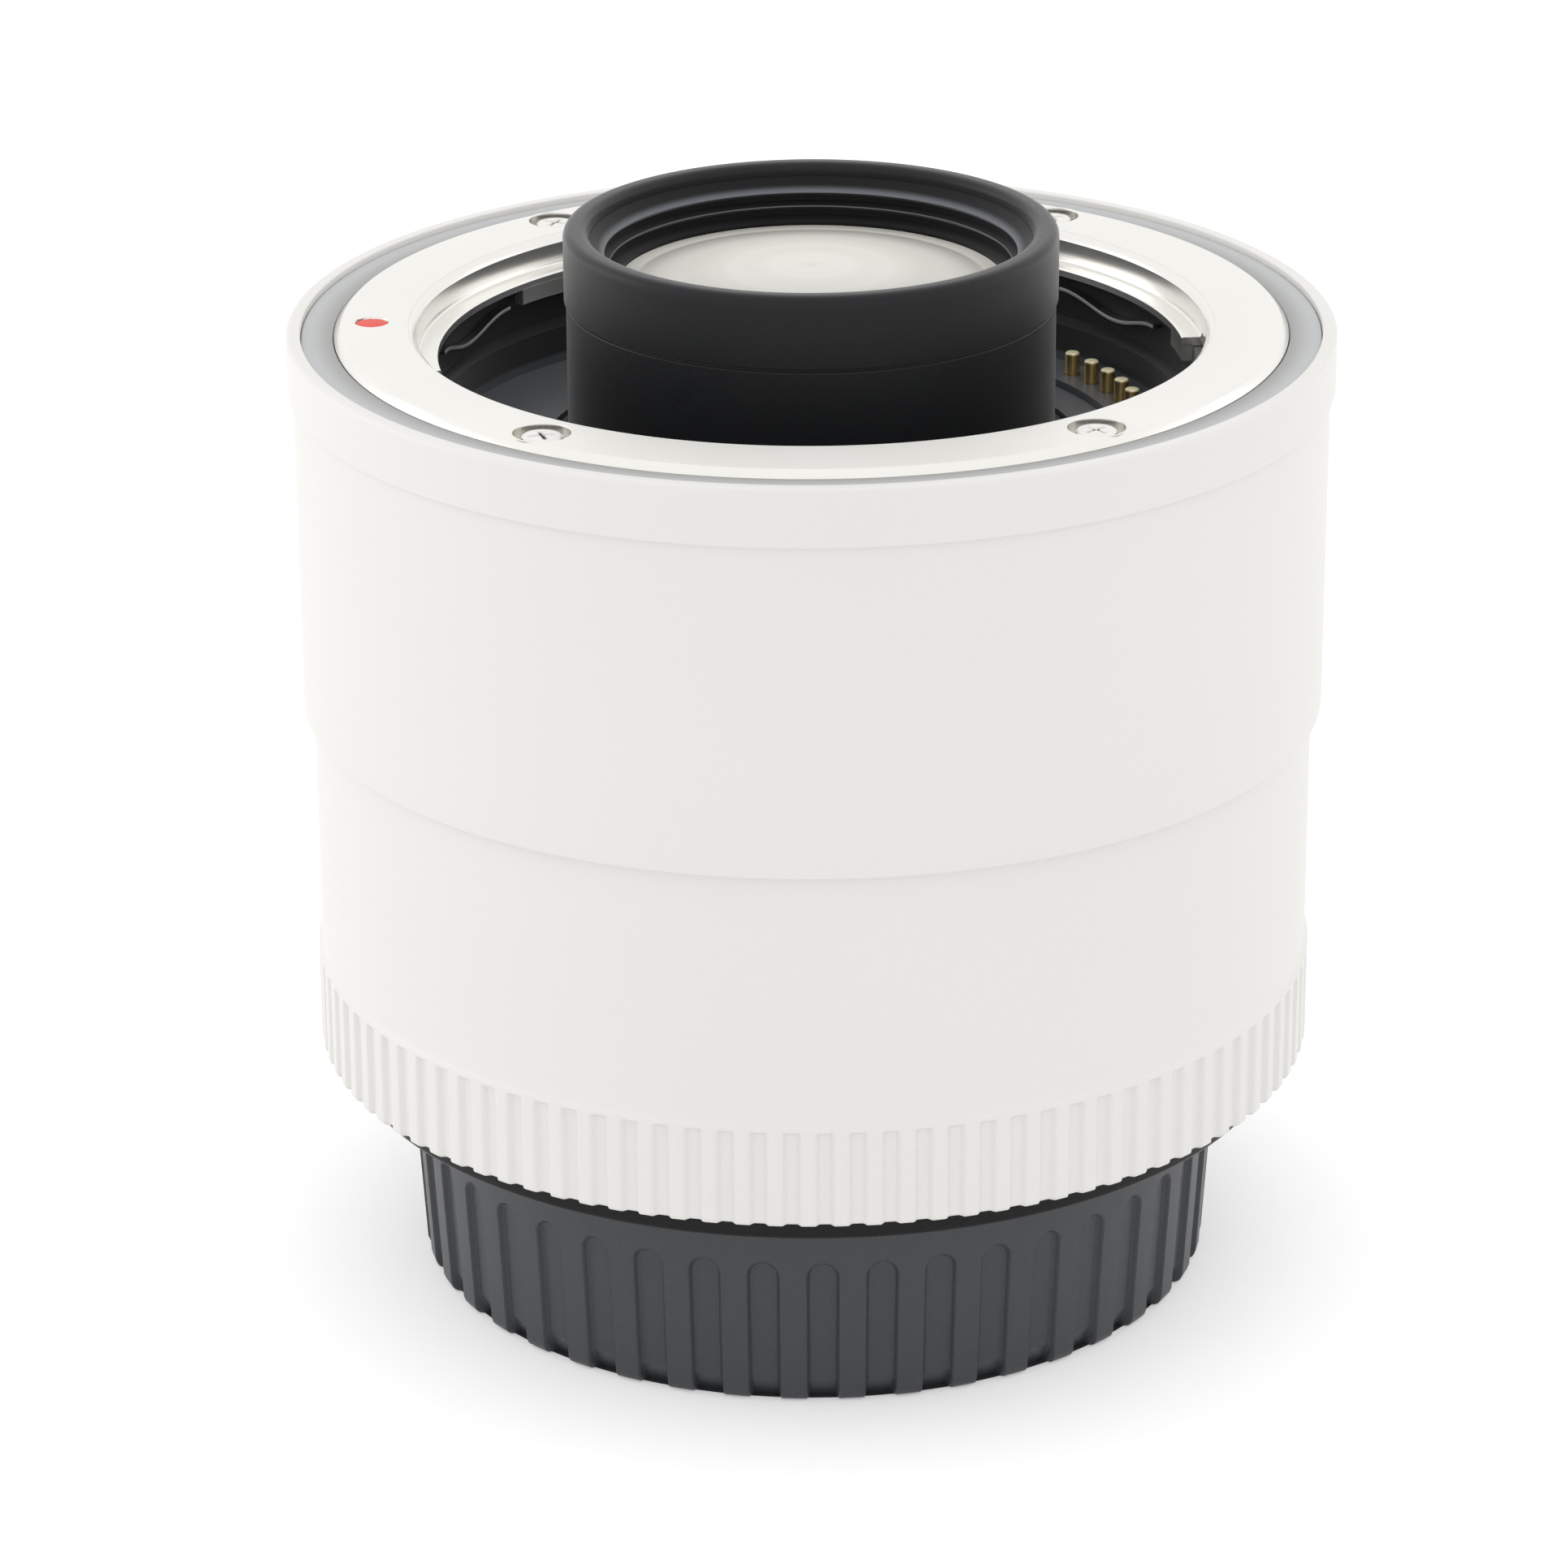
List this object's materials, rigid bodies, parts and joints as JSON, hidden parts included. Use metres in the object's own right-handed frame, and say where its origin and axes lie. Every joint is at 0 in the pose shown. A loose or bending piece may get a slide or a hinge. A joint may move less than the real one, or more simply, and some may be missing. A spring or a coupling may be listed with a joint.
{
  "type": "camera teleconverter",
  "caption": "Short white barrel with a bayonet mount at each end that multiplies a camera lens's focal length; black lens tube stands out of the front mount, fluted cap on the rear.",
  "frame": {"origin": "centre of the rear cap's flat face, on which the part stands", "axes": "+Z along the optical axis towards the lens; index dot at -X, contacts at +X, lens release at +Y"},
  "size_m": [0.0718, 0.0736, 0.0753],
  "materials": {
    "white_paint": "fine satin off-white lacquer",
    "grey_trim": "matte grey moulding",
    "mount_steel": "turned and polished stainless steel",
    "screw_steel": "bright steel with a cross recess",
    "spring_steel": "dark spring steel",
    "red_paint": "red filled dot",
    "black_plastic": "matte black moulding",
    "black_anodised": "matte black coated metal",
    "gold_plate": "gold-plated brass",
    "glass": "coated optical glass",
    "cast_aluminium": "machined cast aluminium",
    "circuit_green": "green circuit laminate",
    "chip_black": "black chip packages",
    "flex_film": "amber flexible circuit film",
    "shim_brass": "thin brass shim",
    "black_rubber": "smooth black rubber",
    "cap_plastic": "satin black moulded plastic"
  },
  "bodies": {
    "converter": {"front_band": "white_paint", "main_barrel": "white_paint", "rear_barrel": "white_paint", "trim_ring": "grey_trim", "lens_mount_ring": "mount_steel", "rear_mount": "mount_steel", "lens_mount_screws": "screw_steel", "cell_screws": "screw_steel", "board_screws": "screw_steel", "rear_mount_screws": "screw_steel", "rear_contact_screws": "screw_steel", "mount_springs": "spring_steel", "lock_pin_spring": "spring_steel", "index_dot": "red_paint", "rear_index_dot": "red_paint", "throat_lining": "black_plastic", "contact_block": "black_plastic", "rear_contact_block": "black_plastic", "rear_baffle": "black_plastic", "front_collar": "black_anodised", "front_lens_tube": "black_anodised", "front_retainer": "black_anodised", "front_spacer": "black_anodised", "main_cell": "black_anodised", "middle_spacer": "black_anodised", "rear_retainer": "black_anodised", "rear_contact_pads": "gold_plate", "contact_springs": "gold_plate", "lens_element_1": "glass", "lens_element_2": "glass", "lens_element_3": "glass", "lens_element_4": "glass", "lens_element_5": "glass", "lens_element_6": "glass", "lens_element_7": "glass", "lens_element_8": "glass", "lens_element_9": "glass", "chassis": "cast_aluminium", "contact_board": "circuit_green", "circuit_board": "circuit_green", "board_chips": "chip_black", "flex_cable": "flex_film", "mount_shim": "shim_brass", "seal_ring": "black_rubber"},
    "lens_release": {"release_lever": "black_plastic", "lock_pin": "mount_steel"},
    "rear_cap": {"rear_cap": "cap_plastic"},
    "contact_1": {"contact_pin_1": "gold_plate"},
    "contact_2": {"contact_pin_2": "gold_plate"},
    "contact_3": {"contact_pin_3": "gold_plate"},
    "contact_4": {"contact_pin_4": "gold_plate"},
    "contact_5": {"contact_pin_5": "gold_plate"},
    "contact_6": {"contact_pin_6": "gold_plate"},
    "contact_7": {"contact_pin_7": "gold_plate"},
    "contact_8": {"contact_pin_8": "gold_plate"},
    "contact_9": {"contact_pin_9": "gold_plate"},
    "contact_10": {"contact_pin_10": "gold_plate"},
    "contact_11": {"contact_pin_11": "gold_plate"}
  },
  "joints": [
    {"name": "lens_release_slide", "type": "slide", "parent": "converter", "child": "lens_release", "axis": [0, 0, -1], "range_m": [0, 0.0025], "stiffness_N_per_m": 400, "springref_m": -0.004, "deforming": ["lock_pin_spring"]},
    {"name": "rear_cap_pull", "type": "slide", "parent": "converter", "child": "rear_cap", "axis": [0, 0, -1], "range_m": [0, 0.03]},
    {"name": "contact_1_press", "type": "slide", "parent": "converter", "child": "contact_1", "axis": [0, 0, -1], "range_m": [0, 0.001], "stiffness_N_per_m": 300, "springref_m": -0.001, "deforming": ["contact_springs"]},
    {"name": "contact_2_press", "type": "slide", "parent": "converter", "child": "contact_2", "axis": [0, 0, -1], "range_m": [0, 0.001], "stiffness_N_per_m": 300, "springref_m": -0.001, "deforming": ["contact_springs"]},
    {"name": "contact_3_press", "type": "slide", "parent": "converter", "child": "contact_3", "axis": [0, 0, -1], "range_m": [0, 0.001], "stiffness_N_per_m": 300, "springref_m": -0.001, "deforming": ["contact_springs"]},
    {"name": "contact_4_press", "type": "slide", "parent": "converter", "child": "contact_4", "axis": [0, 0, -1], "range_m": [0, 0.001], "stiffness_N_per_m": 300, "springref_m": -0.001, "deforming": ["contact_springs"]},
    {"name": "contact_5_press", "type": "slide", "parent": "converter", "child": "contact_5", "axis": [0, 0, -1], "range_m": [0, 0.001], "stiffness_N_per_m": 300, "springref_m": -0.001, "deforming": ["contact_springs"]},
    {"name": "contact_6_press", "type": "slide", "parent": "converter", "child": "contact_6", "axis": [0, 0, -1], "range_m": [0, 0.001], "stiffness_N_per_m": 300, "springref_m": -0.001, "deforming": ["contact_springs"]},
    {"name": "contact_7_press", "type": "slide", "parent": "converter", "child": "contact_7", "axis": [0, 0, -1], "range_m": [0, 0.001], "stiffness_N_per_m": 300, "springref_m": -0.001, "deforming": ["contact_springs"]},
    {"name": "contact_8_press", "type": "slide", "parent": "converter", "child": "contact_8", "axis": [0, 0, -1], "range_m": [0, 0.001], "stiffness_N_per_m": 300, "springref_m": -0.001, "deforming": ["contact_springs"]},
    {"name": "contact_9_press", "type": "slide", "parent": "converter", "child": "contact_9", "axis": [0, 0, -1], "range_m": [0, 0.001], "stiffness_N_per_m": 300, "springref_m": -0.001, "deforming": ["contact_springs"]},
    {"name": "contact_10_press", "type": "slide", "parent": "converter", "child": "contact_10", "axis": [0, 0, -1], "range_m": [0, 0.001], "stiffness_N_per_m": 300, "springref_m": -0.001, "deforming": ["contact_springs"]},
    {"name": "contact_11_press", "type": "slide", "parent": "converter", "child": "contact_11", "axis": [0, 0, -1], "range_m": [0, 0.001], "stiffness_N_per_m": 300, "springref_m": -0.001, "deforming": ["contact_springs"]}
  ]
}
